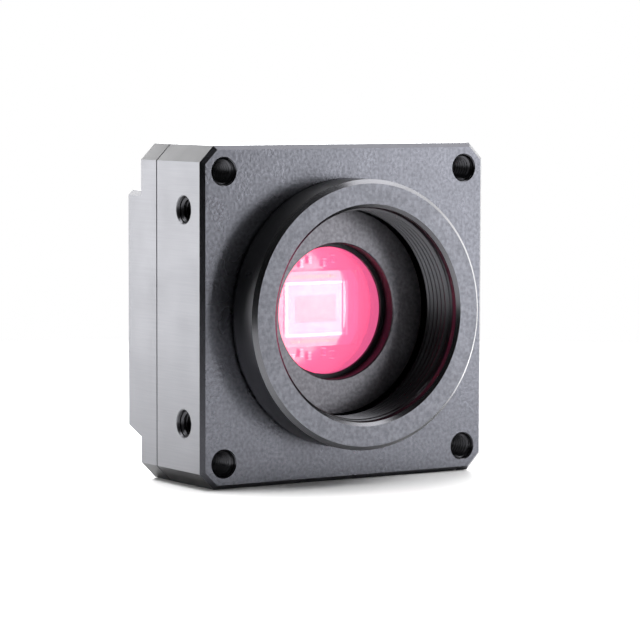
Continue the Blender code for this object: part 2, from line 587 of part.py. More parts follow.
def build():
    """Make the whole camera."""
    clear_scene()
    origin = bpy.data.objects.new("front_face_centre", None)
    bpy.context.scene.collection.objects.link(origin)
    origin.location = Vector((0, FACE_Y, HALF))
    anodised = make_material("anodised_aluminium", (0.11, 0.11, 0.115), 0.45, 1.0)
    ring_metal = make_material("anodised_ring", (0.09, 0.09, 0.095), 0.4, 1.0)
    baffle_black = make_material("black_metal", (0.02, 0.02, 0.02), 0.6, 1.0)
    rubber = make_material("seal_rubber", (0.02, 0.02, 0.02), 0.8, 0.0)
    filter_glass = make_material("filter_glass", (1.0, 0.25, 0.45), 0.05, 0.0, alpha=0.5)
    clear_glass = make_material("clear_glass", (0.95, 0.97, 0.97), 0.03, 0.0, alpha=0.3)
    ceramic = make_material("sensor_ceramic", (0.75, 0.72, 0.70), 0.5, 0.0)
    silicon = make_material("sensor_silicon", (0.45, 0.42, 0.45), 0.2, 0.6)
    laminate = make_material("board_laminate", (0.02, 0.09, 0.05), 0.45, 0.0)
    brass = make_material("brass", (0.75, 0.58, 0.28), 0.3, 1.0)
    steel = make_material("screw_steel", (0.10, 0.10, 0.10), 0.35, 1.0)
    bright_steel = make_material("bright_steel", (0.75, 0.75, 0.76), 0.25, 1.0)
    plastic = make_material("black_plastic", (0.02, 0.02, 0.022), 0.5, 0.0)
    pad = make_material("thermal_pad", (0.45, 0.55, 0.65), 0.8, 0.0)
    make_front_shell(anodised)
    make_rear_cover(anodised)
    make_mount_ring(ring_metal)
    make_seal_ring(rubber)
    make_filter(filter_glass, baffle_black)
    make_sensor(ceramic, silicon, clear_glass)
    make_boards(laminate)
    make_board_stack(brass, bright_steel)
    make_cover_screws(steel)
    make_gasket(rubber)
    make_usb_socket(bright_steel, plastic)
    make_board_parts(plastic, bright_steel, pad)


build()
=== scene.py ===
"""Looks of the compact astronomy camera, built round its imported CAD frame.

Metres, +Z up, lens axis along Y.  Detailed pieces are modelled in "face space", whose origin is where
the lens axis meets the front face: x to the right, y the depth behind the face, z the height above the
axis.  Each such object is then placed at that point.
"""
import json
import math

import bmesh
import bpy
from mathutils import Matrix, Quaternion, Vector


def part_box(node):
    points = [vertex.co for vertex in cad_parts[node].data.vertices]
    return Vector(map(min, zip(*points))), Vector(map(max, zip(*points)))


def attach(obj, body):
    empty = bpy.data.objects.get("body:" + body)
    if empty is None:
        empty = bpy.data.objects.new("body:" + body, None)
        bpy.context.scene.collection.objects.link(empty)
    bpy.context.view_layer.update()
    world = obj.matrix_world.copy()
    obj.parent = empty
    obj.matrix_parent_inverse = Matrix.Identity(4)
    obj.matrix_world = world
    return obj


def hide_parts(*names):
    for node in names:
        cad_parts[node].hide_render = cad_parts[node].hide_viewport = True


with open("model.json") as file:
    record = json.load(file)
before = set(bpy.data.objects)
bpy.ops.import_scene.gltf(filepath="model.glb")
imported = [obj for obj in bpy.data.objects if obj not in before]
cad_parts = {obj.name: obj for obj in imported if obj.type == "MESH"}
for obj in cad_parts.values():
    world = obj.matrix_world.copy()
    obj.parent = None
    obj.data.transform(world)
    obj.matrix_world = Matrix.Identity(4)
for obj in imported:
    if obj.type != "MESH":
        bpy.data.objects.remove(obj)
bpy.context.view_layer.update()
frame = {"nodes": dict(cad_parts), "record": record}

# ---------------------------------------------------------------- sizes read from the frame
HOUSING_LOW, HOUSING_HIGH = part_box("front_housing")
COVER_LOW, COVER_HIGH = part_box("rear_cover")
RING_LOW, RING_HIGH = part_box("lens_mount_ring")
FILTER_LOW, FILTER_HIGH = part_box("window_filter")
PACKAGE_LOW, PACKAGE_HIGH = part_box("sensor_package")
BOARD_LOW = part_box("sensor_board")[0]
USB_LOW, USB_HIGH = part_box("usb_shell")
TONGUE_LOW, TONGUE_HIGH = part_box("usb_tongue")

FACE_Y = HOUSING_LOW.y
AXIS_Z = (HOUSING_LOW.z + HOUSING_HIGH.z) / 2
FACE_CENTRE = Vector((0, FACE_Y, AXIS_Z))
HALF = HOUSING_HIGH.x
COVER_FRONT = COVER_LOW.y - FACE_Y
COVER_BACK = COVER_HIGH.y - FACE_Y
RING_FRONT = RING_LOW.y - FACE_Y
RING_R = RING_HIGH.x
SPIGOT_BACK = RING_HIGH.y - FACE_Y
FILTER_R = FILTER_HIGH.x

# ---------------------------------------------------------------- sizes of the details
FIT = 0.0003                    # the gap that the frame keeps between touching pieces
MICRO = 0.00006                 # broken edge on machined metal
CORNER_CHAMFER = 0.0019
FRONT_CHAMFER = 0.0005
RING_CHAMFER = 0.0005
PLATE_THICKNESS = 0.00365
PLATE_BACK = COVER_FRONT + PLATE_THICKNESS
BLOCK_HALF_HEIGHT = 0.0144
BLOCK_CHAMFER = 0.0003
BLOCK_LONG_CHAMFER = 0.0006
BLOCK_WALL = 0.0016

THREAD_ROOT_R = 0.0127          # lens thread, 1 inch by 32 threads per inch
THREAD_CREST_R = 0.01232
THREAD_PITCH = 0.0254 / 32
THREAD_START = 0.0009           # behind the lens flange
THREAD_END = 0.0066
MOUTH_R = 0.0131
RELIEF_R = 0.0129
SPIGOT_R = 0.0149
LIP_THICKNESS = 0.00015         # thin lip at the back of the ring's outer wall
RELIEF_DEPTH = 0.00012
SEAL_GROOVE_R = 0.0138
SEAL_GROOVE_FRONT = 0.0018
SEAL_GROOVE_BACK = 0.0032
BAFFLE_R = 0.0123
BAFFLE_DEPTH = 0.0021
LEDGE_THICKNESS = 0.0004
LEDGE_SEAT = 0.00105            # how far the filter rests on its ledge
LEDGE_STEP = 0.0005             # the ledge stands in from the aperture
LEDGE_BACK = FILTER_LOW.y - FACE_Y - FIT
LEDGE_DEPTH = LEDGE_BACK - LEDGE_THICKNESS
LEDGE_R = FILTER_R - LEDGE_SEAT
APERTURE_R = LEDGE_R + LEDGE_STEP
FILTER_EDGE = 0.0001
BORE_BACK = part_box("filter_retainer")[1].y - FACE_Y
RECESS_DEPTH = 0.004
SEAM = 0.0001                   # gap that shows between the shell and the cover
SHELL_DEPTH = COVER_FRONT - SEAM

HOLE_R = 0.0016
HOLE_PLACE = 0.017
HOLE_MOUTH = 0.00012
M3_ROOT_R = 0.00152
M3_CREST_R = 0.00124
M3_PITCH = 0.0005
SIDE_HOLE_Z = 0.0125
SIDE_HOLE_DEPTH = 0.0041
SIDE_HOLE_REACH = 0.005
THREAD_INSET = 0.00014          # from a hole's mouth to its thread sleeve
THREAD_LEAD = 0.0001            # from the sleeve's front to its first turn
SCREW_FRONT = 0.0056            # how far the cover screws leave the corner holes open
SCREW_HEAD_R = 0.00225
SCREW_SUNK = 0.0001
HEX_FLATS = 0.002
HEX_DEPTH = 0.0011
HEX_RIM = (0.9, 1.06)           # small countersink round the hex socket, of the socket's radius

CAVITY_HALF = 0.017
CAVITY_ROUNDING = 0.0012
ARM_HALF = 0.0125
GROOVE_IN = 0.0007
GROOVE_WIDTH = 0.0015
GROOVE_IN_SHELL = 0.0005
GROOVE_IN_COVER = 0.0008

ACTIVE_SIZE = (0.0059, 0.0033)
RIM_OFFSET = 0.00045            # the bright frame and the pixel array sit off the lens axis
ARRAY_OFFSET = 0.00026
GLASS_RIM = 0.0003
PLATE_LIFT = 0.00003            # how far the sensor's thin plates stand off the package
BOND_PAD = (0.00018, 0.00005, 0.0004)
BOND_PITCH = 0.00035
BOND_ROW = 0.0039               # height of a row of bond pads above or below the axis
BONDS_PER_SIDE = 9              # on each side of the middle one

CHIP = (0.0005, 0.0004, 0.0010)
CHIP_END = (0.00053, 0.00043, 0.00022)
CHIP_END_PLACE = 0.0004
CHIP_PLACES = (-0.0045, -0.0033, -0.0008, 0.0004, 0.0025, 0.0037)
CHIP_GAP = 0.0009               # from the package to the nearest chips
CHIP_STAGGER = 0.0004
CHIP_EDGE = 0.00004
TRACE_WIDTH = 0.00012
TRACE_HEIGHT = 0.00004
TRACE_STEP = 2.2 * TRACE_WIDTH
TRACE_LANES = 6
TRACE_START = -0.0056
TRACE_RUN = 0.0042
TRACE_NEAR = 0.0002             # from the package to a trace's near end and far end
TRACE_FAR = 0.0024
FINE_EDGE = 0.00001

USB_ROUNDING = 0.98             # of half the port's height
USB_WALL = 0.0003
USB_LEAD = 0.0003               # flare at the mouth of the port's hole
TONGUE_EDGE = 0.0001
CONTACT = (0.0002, 0.0024, 0.00004)
CONTACT_PITCH = 0.0004
CONTACTS = 12
CONTACT_SETBACK = 0.0016        # from the tongue's tip to the middle of a contact

OVER = 0.001                    # how far a cutter reaches past what it cuts
ALONG_AXIS = 0.95               # a normal's share above which a face is square to an axis
FACES_FRONT = -0.9
RING_STEPS = 256
FILTER_STEPS = 128
HOLE_STEPS = 48
SIGNS = (-1, 1)
CORNERS = [(x, z) for x in SIGNS for z in SIGNS]


# ---------------------------------------------------------------- mesh helpers
def ring_of_points(work, radius, depth, steps):
    """Ring of vertices round the lens axis, or a single vertex on it."""
    ring = []
    for step in range(steps if radius > 0 else 1):
        angle = 2 * math.pi * step / steps
        ring.append(work.verts.new((radius * math.cos(angle), depth, radius * math.sin(angle))))
    return ring


def skin(work, loop, after):
    """Quads between two loops with the same number of vertices."""
    for step in range(len(loop)):
        follow = (step + 1) % len(loop)
        work.faces.new([loop[step], loop[follow], after[follow], after[step]])


def add_turned_wall(work, line, steps):
    """Add the wall that an open (radius, depth) line sweeps round the lens axis."""
    rings = [ring_of_points(work, radius, depth, steps) for radius, depth in line]
    for ring, after in zip(rings, rings[1:]):
        skin(work, ring, after)


def turned(profile, steps):
    """Spin a closed (radius, depth) loop round the lens axis."""
    work = bmesh.new()
    rings = [ring_of_points(work, radius, depth, steps) for radius, depth in profile]
    for ring, after in zip(rings, rings[1:] + rings[:1]):
        if len(ring) == 1 and len(after) == 1:
            continue
        for step in range(steps):
            follow = (step + 1) % steps
            loop = [ring[step % len(ring)], ring[follow % len(ring)],
                    after[follow % len(after)], after[step % len(after)]]
            work.faces.new(list(dict.fromkeys(loop)))
    bmesh.ops.recalc_face_normals(work, faces=work.faces)
    return work


def prism(outline, front, back, edge_front=0.0, edge_back=0.0):
    """Extrude an (x, z) outline from one depth to another, with chamfered end edges if asked."""
    work = bmesh.new()
    face = work.faces.new([work.verts.new((x, front, z)) for x, z in outline])
    grown = bmesh.ops.extrude_face_region(work, geom=[face])["geom"]
    moved = [item for item in grown if isinstance(item, bmesh.types.BMVert)]
    bmesh.ops.translate(work, verts=moved, vec=(0, back - front, 0))
    for depth, width in ((front, edge_front), (back, edge_back)):
        if width:
            rim = [e for e in work.edges if all(abs(v.co.y - depth) < MICRO / 10 for v in e.verts)]
            bmesh.ops.bevel(work, geom=rim, offset=width, segments=1, affect="EDGES")
    bmesh.ops.recalc_face_normals(work, faces=work.faces)
    return work


def lofted(sections):
    """Closed skin through outlines with the same number of points, given as (outline, depth)."""
    work = bmesh.new()
    loops = [[work.verts.new((x, depth, z)) for x, z in outline] for outline, depth in sections]
    for loop, after in zip(loops, loops[1:]):
        skin(work, loop, after)
    work.faces.new(loops[0])
    work.faces.new(loops[-1])
    bmesh.ops.recalc_face_normals(work, faces=work.faces)
    return work


def circle(radius, centre=(0, 0), steps=HOLE_STEPS):
    """Outline of a circle."""
    turns = [2 * math.pi * (step + 0.5) / steps for step in range(steps)]
    return [(centre[0] + radius * math.cos(a), centre[1] + radius * math.sin(a)) for a in turns]


def rectangle(width, height, centre=(0, 0), rounding=0.0, arc_steps=10):
    """Outline of a rectangle, with round corners if asked."""
    points = []
    for turn, (side_x, side_z) in enumerate(((1, 1), (-1, 1), (-1, -1), (1, -1))):
        corner_x = centre[0] + side_x * (width / 2 - rounding)
        corner_z = centre[1] + side_z * (height / 2 - rounding)
        steps = arc_steps if rounding else 0
        for step in range(steps + 1):
            angle = math.pi / 2 * (turn + step / max(steps, 1))
            points.append((corner_x + rounding * math.cos(angle), corner_z + rounding * math.sin(angle)))
    return points


def four_sided(near, far):
    """Closed outline through points given for the first quarter, mirrored into the other three."""
    points = []
    for side_x, side_z in ((1, 1), (-1, 1), (-1, -1), (1, -1)):
        quarter = [(side_x * x, side_z * z) for x, z in zip(near, far)]
        points.extend(quarter if side_x * side_z > 0 else reversed(quarter))
    return points


def body_outline():
    """Square body with chamfered corners."""
    edge = HALF - CORNER_CHAMFER
    return four_sided((HALF, edge), (edge, HALF))


def cross_outline(half, arm):
    """Square with a square notch in each corner."""
    return four_sided((half, arm, arm), (arm, arm, half))


def box_work(size, centre, edge):
    """Small block with broken edges."""
    work = bmesh.new()
    bmesh.ops.create_cube(work, size=1)
    bmesh.ops.scale(work, verts=work.verts, vec=size)
    bmesh.ops.translate(work, verts=work.verts, vec=centre)
    bmesh.ops.bevel(work, geom=list(work.edges), offset=edge, segments=2, affect="EDGES")
    return work


def join(pieces):
    """Put several bmeshes into one."""
    whole = bmesh.new()
    for work in pieces:
        spare = bpy.data.meshes.new("spare")
        work.to_mesh(spare)
        work.free()
        whole.from_mesh(spare)
        bpy.data.meshes.remove(spare)
    return whole


def carve(work, cutters):
    """Cut closed bmeshes out of a closed bmesh and give back the result as a bmesh."""
    def temporary(shape):
        mesh = bpy.data.meshes.new("temporary")
        shape.to_mesh(mesh)
        shape.free()
        made = bpy.data.objects.new("temporary", mesh)
        bpy.context.scene.collection.objects.link(made)
        return made
    host = temporary(work)
    tools = [temporary(shape) for shape in cutters]
    for tool in tools:
        modifier = host.modifiers.new("cut", "BOOLEAN")
        modifier.solver = "EXACT"
        modifier.object = tool
    ready = host.evaluated_get(bpy.context.evaluated_depsgraph_get())
    result = bmesh.new()
    result.from_mesh(ready.to_mesh())
    for made in [host, *tools]:
        bpy.data.meshes.remove(made.data)
    return result


def helix_bore(flat_r, crest_r, pitch, front, back, steps, rows=10):
    """Inner surface with a right-hand thread, from a plain circle at the front to one at the back."""
    work = bmesh.new()
    turns = (back - front) / pitch
    count = int((turns + 2) * rows)
    grid = []
    for row in range(count + 1):
        line = []
        for step in range(steps):
            part = step / steps
            depth = front + (row / rows - part) * pitch
            height = thread_height(row / rows % 1.0)
            fade = min(1.0, max(0.0, (depth - front) / pitch), max(0.0, (back - depth) / pitch))
            radius = flat_r - (flat_r - crest_r) * height * fade
            angle = 2 * math.pi * part
            depth = min(max(depth, front), back)
            line.append(work.verts.new((radius * math.cos(angle), depth, radius * math.sin(angle))))
        grid.append(line)
    for row in range(count):
        for step in range(steps):
            if step + 1 < steps:
                loop = [grid[row][step], grid[row][step + 1], grid[row + 1][step + 1], grid[row + 1][step]]
            elif row >= rows:
                loop = [grid[row][step], grid[row - rows][0], grid[row - rows + 1][0], grid[row + 1][step]]
            else:
                continue
            work.faces.new(loop)
    bmesh.ops.remove_doubles(work, verts=work.verts, dist=pitch / 1000)
    return work


def thread_height(phase):
    """Height of a thread with flat roots and crests, from 0 at the root to 1 at the crest."""
    from_crest = abs(phase - 0.5) * 2
    flank_foot = 0.92
    flank_width = 0.72
    return min(1.0, max(0.0, (flank_foot - from_crest) / flank_width))


def place(work, name, at=FACE_CENTRE, smooth_degrees=25):
    """Make an object of a bmesh in face space."""
    mesh = bpy.data.meshes.new(name)
    work.to_mesh(mesh)
    work.free()
    mesh.shade_smooth()
    mesh.set_sharp_from_angle(angle=math.radians(smooth_degrees))
    made = bpy.data.objects.new(name, mesh)
    bpy.context.scene.collection.objects.link(made)
    made.location = at
    return made


def dress(piece, body, materials, rule=None):
    """Let a piece ride on a body, and give each face the material that the rule picks."""
    for material in materials:
        piece.data.materials.append(material)
    if rule:
        for face in piece.data.polygons:
            face.material_index = rule(face.center, face.normal)
    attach(piece, body)
    return piece


# ---------------------------------------------------------------- material helpers
class Recipe:
    """Short way to write a node material round one Principled shader."""

    def __init__(self, name, colour, roughness, metallic=0.0):
        self.material = bpy.data.materials.new(name)
        self.material.use_nodes = True
        self.nodes = self.material.node_tree.nodes
        self.links = self.material.node_tree.links
        self.shader = self.nodes["Principled BSDF"]
        self.colour = colour
        self.roughness = roughness
        self.shader.inputs["Base Color"].default_value = (*colour, 1)
        self.shader.inputs["Roughness"].default_value = roughness
        self.shader.inputs["Metallic"].default_value = metallic
        self.point = self.nodes.new("ShaderNodeTexCoord").outputs["Object"]
        self.normal = None

    def set(self, **values):
        """Set constant values on the shader's own sockets."""
        for key, value in values.items():
            self.shader.inputs[key.replace("_", " ")].default_value = value
        return self

    def stretched(self, scale):
        """Object position, scaled differently along each axis."""
        node = self.nodes.new("ShaderNodeMapping")
        node.inputs["Scale"].default_value = scale
        self.links.new(self.point, node.inputs["Vector"])
        return node.outputs["Vector"]

    def polar(self):
        """(distance from the lens axis, depth, 0), for marks that run round the axis."""
        split = self.nodes.new("ShaderNodeSeparateXYZ")
        self.links.new(self.point, split.inputs[0])
        flat = self.nodes.new("ShaderNodeCombineXYZ")
        self.links.new(split.outputs["X"], flat.inputs["X"])
        self.links.new(split.outputs["Z"], flat.inputs["Y"])
        length = self.nodes.new("ShaderNodeVectorMath")
        length.operation = "LENGTH"
        self.links.new(flat.outputs[0], length.inputs[0])
        both = self.nodes.new("ShaderNodeCombineXYZ")
        self.links.new(length.outputs["Value"], both.inputs["X"])
        self.links.new(split.outputs["Y"], both.inputs["Y"])
        return both.outputs[0]

    def noise(self, size, vector=None, detail=2.0):
        """Noise with features of about the given size, in metres."""
        node = self.nodes.new("ShaderNodeTexNoise")
        node.inputs["Scale"].default_value = 1 / size
        node.inputs["Detail"].default_value = detail
        self.links.new(vector or self.point, node.inputs["Vector"])
        return node.outputs["Fac"]

    def spread(self, source, low, high, start=0.3, end=0.7):
        """Map a 0 to 1 value onto a range."""
        node = self.nodes.new("ShaderNodeMapRange")
        node.inputs["From Min"].default_value = start
        node.inputs["From Max"].default_value = end
        node.inputs["To Min"].default_value = low
        node.inputs["To Max"].default_value = high
        self.links.new(source, node.inputs["Value"])
        return node.outputs["Result"]

    def bump(self, source, height):
        """Add relief of the given height, in metres, on top of any relief already there."""
        node = self.nodes.new("ShaderNodeBump")
        node.inputs["Distance"].default_value = height
        self.links.new(source, node.inputs["Height"])
        if self.normal:
            self.links.new(self.normal, node.inputs["Normal"])
        self.normal = node.outputs["Normal"]
        self.links.new(self.normal, self.shader.inputs["Normal"])
        return self

    def vary_roughness(self, source, amount):
        """Vary the roughness round its value."""
        out = self.spread(source, self.roughness - amount, self.roughness + amount)
        self.links.new(out, self.shader.inputs["Roughness"])
        return self

    def vary_colour(self, source, amount):
        """Vary the colour's lightness by a share of it, up and down."""
        mix = self.nodes.new("ShaderNodeMix")
        mix.data_type = "RGBA"
        self.links.new(self.spread(source, 0, 1), mix.inputs["Factor"])
        mix.inputs["A"].default_value = (*(c * (1 - amount) for c in self.colour), 1)
        mix.inputs["B"].default_value = (*(c * (1 + amount) for c in self.colour), 1)
        self.links.new(mix.outputs["Result"], self.shader.inputs["Base Color"])
        return self


def blasted_metal(name, colour, roughness, grain, height):
    """Bead-blasted anodised aluminium."""
    recipe = Recipe(name, colour, roughness, metallic=1.0)
    fine = recipe.noise(grain, detail=1)
    recipe.bump(fine, height)
    recipe.vary_colour(fine, amount=0.18)
    recipe.vary_roughness(recipe.noise(size=0.004), amount=0.03)
    return recipe.material


def milled_metal(name, colour, roughness):
    """Anodised aluminium with fine milling lines along Y and a faint grain."""
    recipe = Recipe(name, colour, roughness, metallic=1.0)
    lines = recipe.noise(size=0.00016, vector=recipe.stretched((1, 0.02, 1)), detail=3)
    recipe.bump(lines, height=0.000002)
    recipe.bump(recipe.noise(size=0.00025), height=0.0000015)
    recipe.vary_colour(lines, amount=0.05)
    recipe.vary_roughness(recipe.noise(size=0.005), amount=0.03)
    return recipe.material


def turned_metal(name, colour, roughness):
    """Anodised aluminium with lathe marks round the lens axis."""
    recipe = Recipe(name, colour, roughness, metallic=1.0)
    marks = recipe.noise(size=0.00012, vector=recipe.polar(), detail=3)
    recipe.bump(marks, height=0.0000015)
    recipe.vary_colour(marks, amount=0.08)
    recipe.vary_roughness(recipe.noise(size=0.004), amount=0.03)
    return recipe.material


def moulded(name, colour, roughness, height=0.000003, metallic=0.0):
    """Plain moulded, ceramic or plated surface with a faint grain."""
    recipe = Recipe(name, colour, roughness, metallic)
    recipe.bump(recipe.noise(size=0.0002), height)
    recipe.vary_colour(recipe.noise(size=0.0015), amount=0.06)
    recipe.vary_roughness(recipe.noise(size=0.001), amount=min(0.04, roughness / 3))
    return recipe.material


def glass_with_painted_glow(name, colour, alpha, roughness, metallic, painted_glow):
    """Glass with a coating that reflects and lets part of the light through.

    A constant emission paints a glow into the glass: painted light that makes it show bright even in shade,
    though the real glass gives off no light.
    """
    recipe = Recipe(name, colour, roughness, metallic)
    recipe.set(Alpha=alpha, IOR=1.52, Emission_Color=(*painted_glow, 1), Emission_Strength=1)
    recipe.vary_roughness(recipe.noise(size=0.004), amount=roughness / 8)
    recipe.vary_colour(recipe.noise(size=0.006, detail=0), amount=0.03)
    return recipe.material


def clear_glass(name, colour, roughness):
    """Plain glass that hardly bends the light that passes through it."""
    recipe = Recipe(name, colour, roughness)
    recipe.set(Transmission_Weight=1, IOR=1.1)
    recipe.vary_roughness(recipe.noise(size=0.004), amount=roughness / 4)
    recipe.vary_colour(recipe.noise(size=0.006, detail=0), amount=0.01)
    return recipe.material


# ---------------------------------------------------------------- pieces
def holed_face_rule(centre, normal):
    """Front shell: 0 blasted face, 1 milled sides, 2 cut chamfers, 3 black bore, 4 blasted baffle."""
    round_r = math.hypot(centre.x, centre.z)
    if round_r < SPIGOT_R + FIT + MICRO and centre.y > FRONT_CHAMFER / 2 and abs(centre.x) < HALF - MICRO:
        return 4 if abs(centre.y - BAFFLE_DEPTH) < MICRO and round_r > APERTURE_R else 3
    if centre.y < MICRO / 2 and normal.y < FACES_FRONT:
        return 0
    slanted = max(abs(normal.x), abs(normal.y), abs(normal.z)) < ALONG_AXIS
    outside = max(abs(centre.x), abs(centre.z)) > HALF - FRONT_CHAMFER - MICRO
    if slanted and abs(centre.y) < FRONT_CHAMFER + MICRO:
        return 2
    return 1 if outside or abs(centre.y - SHELL_DEPTH) < MICRO else 3


def make_front_shell(looks):
    """Front shell with chamfers, bored and drilled like its solid."""
    work = prism(body_outline(), 0, SHELL_DEPTH, edge_front=FRONT_CHAMFER, edge_back=MICRO)
    recess_r = SPIGOT_R + FIT
    bore = [(0, -OVER), (recess_r + MICRO + OVER, -OVER), (recess_r + MICRO, 0), (recess_r, MICRO),
            (recess_r, RECESS_DEPTH), (BAFFLE_R, RECESS_DEPTH), (BAFFLE_R, BAFFLE_DEPTH + MICRO),
            (BAFFLE_R - MICRO, BAFFLE_DEPTH), (APERTURE_R + 2 * MICRO, BAFFLE_DEPTH),
            (APERTURE_R, BAFFLE_DEPTH + 2 * MICRO), (APERTURE_R, LEDGE_DEPTH),
            (LEDGE_R + MICRO, LEDGE_DEPTH), (LEDGE_R, LEDGE_DEPTH + MICRO), (LEDGE_R, LEDGE_BACK),
            (FILTER_R + FIT, LEDGE_BACK), (FILTER_R + FIT, BORE_BACK + OVER), (0, BORE_BACK + OVER)]
    cutters = [turned(bore, RING_STEPS)]
    cutters.append(prism(cross_outline(CAVITY_HALF, ARM_HALF), BORE_BACK, SHELL_DEPTH + OVER))
    mouth = HOLE_R + HOLE_MOUTH
    hole = [(0, -OVER), (mouth + OVER, -OVER), (mouth, 0), (HOLE_R, HOLE_MOUTH),
            (HOLE_R, SHELL_DEPTH + OVER), (0, SHELL_DEPTH + OVER)]
    cutters.append(at_corners(hole))
    blind = [(0, -OVER), (mouth + OVER, -OVER), (mouth, 0), (HOLE_R, HOLE_MOUTH),
             (HOLE_R, SIDE_HOLE_REACH), (0, SIDE_HOLE_REACH)]
    for side in SIGNS:
        cutters.append(join([sideways(turned(blind, HOLE_STEPS), side, height)
                             for height in (-SIDE_HOLE_Z, SIDE_HOLE_Z)]))
    groove = gasket_groove(SHELL_DEPTH - GROOVE_IN_SHELL, SHELL_DEPTH + OVER)
    shell = place(carve(work, [*cutters, groove]), "front_shell_metal")
    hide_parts("front_housing")
    materials = [looks["face"], looks["side"], looks["edge"], looks["bore"], looks["baffle"]]
    return dress(shell, "camera_body", materials, holed_face_rule)


def moved(work, vector):
    """Shift a bmesh."""
    bmesh.ops.translate(work, verts=work.verts, vec=vector)
    return work


def at_corners(profile):
    """Spin a profile at each of the four corner holes."""
    return join([moved(turned(profile, HOLE_STEPS), (x * HOLE_PLACE, 0, z * HOLE_PLACE))
                 for x, z in CORNERS])


def sideways(work, side, height):
    """Turn a bmesh that points into the front face so that it points into a side face."""
    turn = Quaternion((0, 0, 1), -side * math.pi / 2 + math.pi).to_matrix()
    bmesh.ops.transform(work, matrix=turn.to_4x4(), verts=work.verts)
    return moved(work, (side * HALF, SIDE_HOLE_DEPTH, height))


def gasket_groove(front, back):
    """Room for the gasket, as a closed frame."""
    inner = cross_outline(CAVITY_HALF + GROOVE_IN, ARM_HALF + GROOVE_IN)
    outer = cross_outline(CAVITY_HALF + GROOVE_IN + GROOVE_WIDTH, ARM_HALF + GROOVE_IN + GROOVE_WIDTH)
    work = bmesh.new()
    loops = [[work.verts.new((x, y, z)) for x, z in outline]
             for outline, y in ((inner, front), (outer, front), (outer, back), (inner, back))]
    for loop, after in zip(loops, loops[1:] + loops[:1]):
        skin(work, loop, after)
    bmesh.ops.recalc_face_normals(work, faces=work.faces)
    return work


def make_hole_threads(looks):
    """Threads in the corner holes and side holes, each a sleeve just inside its plain hole."""
    for number, (x, z) in enumerate(CORNERS, 1):
        work = moved(thread_sleeve(THREAD_INSET, SCREW_FRONT - FIT), (x * HOLE_PLACE, 0, z * HOLE_PLACE))
        sleeve = place(work, f"corner_hole_thread_{number}", smooth_degrees=40)
        dress(sleeve, "camera_body", [looks["thread"]])
    number = 0
    for side in SIGNS:
        for height in (-SIDE_HOLE_Z, SIDE_HOLE_Z):
            number += 1
            work = sideways(thread_sleeve(THREAD_INSET, SIDE_HOLE_REACH - FIT), side, height)
            sleeve = place(work, f"side_hole_thread_{number}", smooth_degrees=40)
            dress(sleeve, "camera_body", [looks["thread"]])


def thread_sleeve(front, back):
    """Closed sleeve with an M3 thread inside, for a hole of the plain radius."""
    outer = HOLE_R - MICRO / 4
    start = front + THREAD_LEAD
    work = helix_bore(M3_ROOT_R, M3_CREST_R, M3_PITCH, start, back, HOLE_STEPS)
    outside = [(M3_ROOT_R, start), (outer, front), (outer, back), (M3_ROOT_R, back)]
    add_turned_wall(work, outside, HOLE_STEPS)
    bmesh.ops.remove_doubles(work, verts=work.verts, dist=M3_PITCH / 1000)
    bmesh.ops.recalc_face_normals(work, faces=work.faces)
    return work


def ring_rule(centre, normal):
    """Mount ring: 0 flange face, 1 outer wall, 2 chamfers, 3 thread and bore."""
    round_r = math.hypot(centre.x, centre.z)
    if normal.y < FACES_FRONT and centre.y < RING_FRONT + MICRO:
        return 0
    if centre.y < RING_FRONT + RING_CHAMFER + MICRO and -ALONG_AXIS < normal.y < -0.2:
        return 2
    return 1 if round_r > SPIGOT_R - MICRO else 3


def make_mount_ring(looks):
    """Lens mount ring with its real thread, micro-chamfers and the relief behind the thread."""
    start = RING_FRONT + THREAD_START
    end = RING_FRONT + THREAD_END
    work = helix_bore(THREAD_ROOT_R, THREAD_CREST_R, THREAD_PITCH, start, end, RING_STEPS)
    outline = [(THREAD_ROOT_R, start), (THREAD_ROOT_R, RING_FRONT + MOUTH_R - THREAD_ROOT_R),
               (MOUTH_R, RING_FRONT), (RING_R - RING_CHAMFER, RING_FRONT),
               (RING_R, RING_FRONT + RING_CHAMFER), (RING_R, -FIT - LIP_THICKNESS - RELIEF_DEPTH),
               (RING_R - RELIEF_DEPTH, -FIT - LIP_THICKNESS), (RING_R, -FIT - LIP_THICKNESS),
               (RING_R, -FIT - MICRO), (RING_R - MICRO, -FIT),
               (SPIGOT_R, -FIT), (SPIGOT_R, SEAL_GROOVE_FRONT), (SEAL_GROOVE_R, SEAL_GROOVE_FRONT),
               (SEAL_GROOVE_R, SEAL_GROOVE_BACK), (SPIGOT_R, SEAL_GROOVE_BACK), (SPIGOT_R, SPIGOT_BACK),
               (RELIEF_R, SPIGOT_BACK), (RELIEF_R, end + MICRO), (THREAD_ROOT_R, end)]
    add_turned_wall(work, outline, RING_STEPS)
    bmesh.ops.remove_doubles(work, verts=work.verts, dist=THREAD_PITCH / 1000)
    bmesh.ops.recalc_face_normals(work, faces=work.faces)
    ring = place(work, "threaded_mount_ring", smooth_degrees=35)
    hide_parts("lens_mount_ring")
    materials = [looks["flange"], looks["wall"], looks["ring_edge"], looks["lens_thread"]]
    return dress(ring, "mount_ring", materials, ring_rule)


def cover_rule(centre, normal):
    """Rear cover: 0 milled outside, 1 cut chamfers, 2 black inside."""
    if max(abs(normal.x), abs(normal.y), abs(normal.z)) < ALONG_AXIS and centre.y > PLATE_BACK:
        return 1
    inside = max(abs(centre.x), abs(centre.z)) < HALF - MICRO and centre.y < COVER_BACK - BLOCK_WALL
    return 2 if inside and centre.y < PLATE_BACK - MICRO else 0


